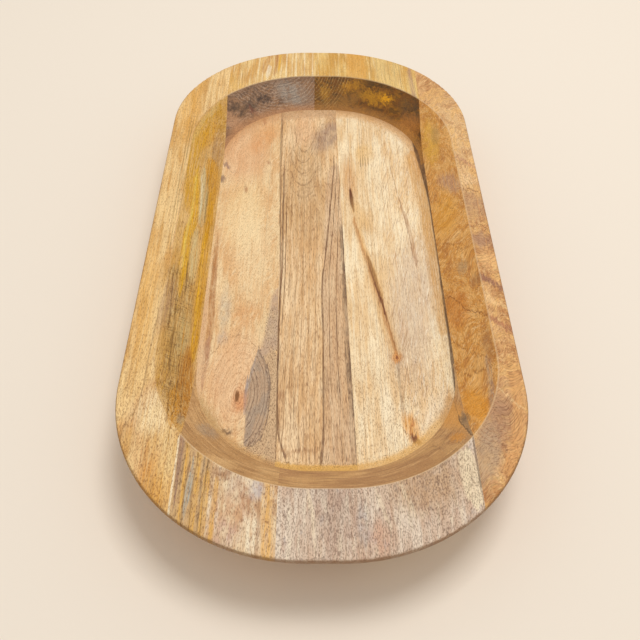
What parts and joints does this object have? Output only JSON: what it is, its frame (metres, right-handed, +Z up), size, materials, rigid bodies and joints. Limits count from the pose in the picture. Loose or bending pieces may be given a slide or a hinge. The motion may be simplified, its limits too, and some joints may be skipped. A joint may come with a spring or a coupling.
{
  "type": "dough bowl",
  "caption": "Long shallow wooden dough bowl with straight sides and round ends, carved from glued hardwood boards, with a flat rim and a sloping wall.",
  "frame": {"origin": "centre of the flat face that the bowl rests on, under the middle of its outline", "axes": "+X across the bowl to the right, +Y along its length to the back, +Z up out of the hollow"},
  "size_m": [0.25, 0.52, 0.046],
  "materials": {
    "left_rail": "oiled satin",
    "right_rail": "oiled satin",
    "front_left_block": "oiled satin",
    "front_right_block": "oiled satin",
    "back_left_block": "oiled satin",
    "back_right_block": "oiled satin",
    "left_floor_board": "oiled satin",
    "centre_floor_board": "oiled satin",
    "right_floor_board": "oiled satin"
  },
  "bodies": {
    "root": {"left_rail": "left_rail", "right_rail": "right_rail", "front_left_block": "front_left_block", "front_right_block": "front_right_block", "back_left_block": "back_left_block", "back_right_block": "back_right_block", "left_floor_board": "left_floor_board", "centre_floor_board": "centre_floor_board", "right_floor_board": "right_floor_board"}
  },
  "joints": []
}
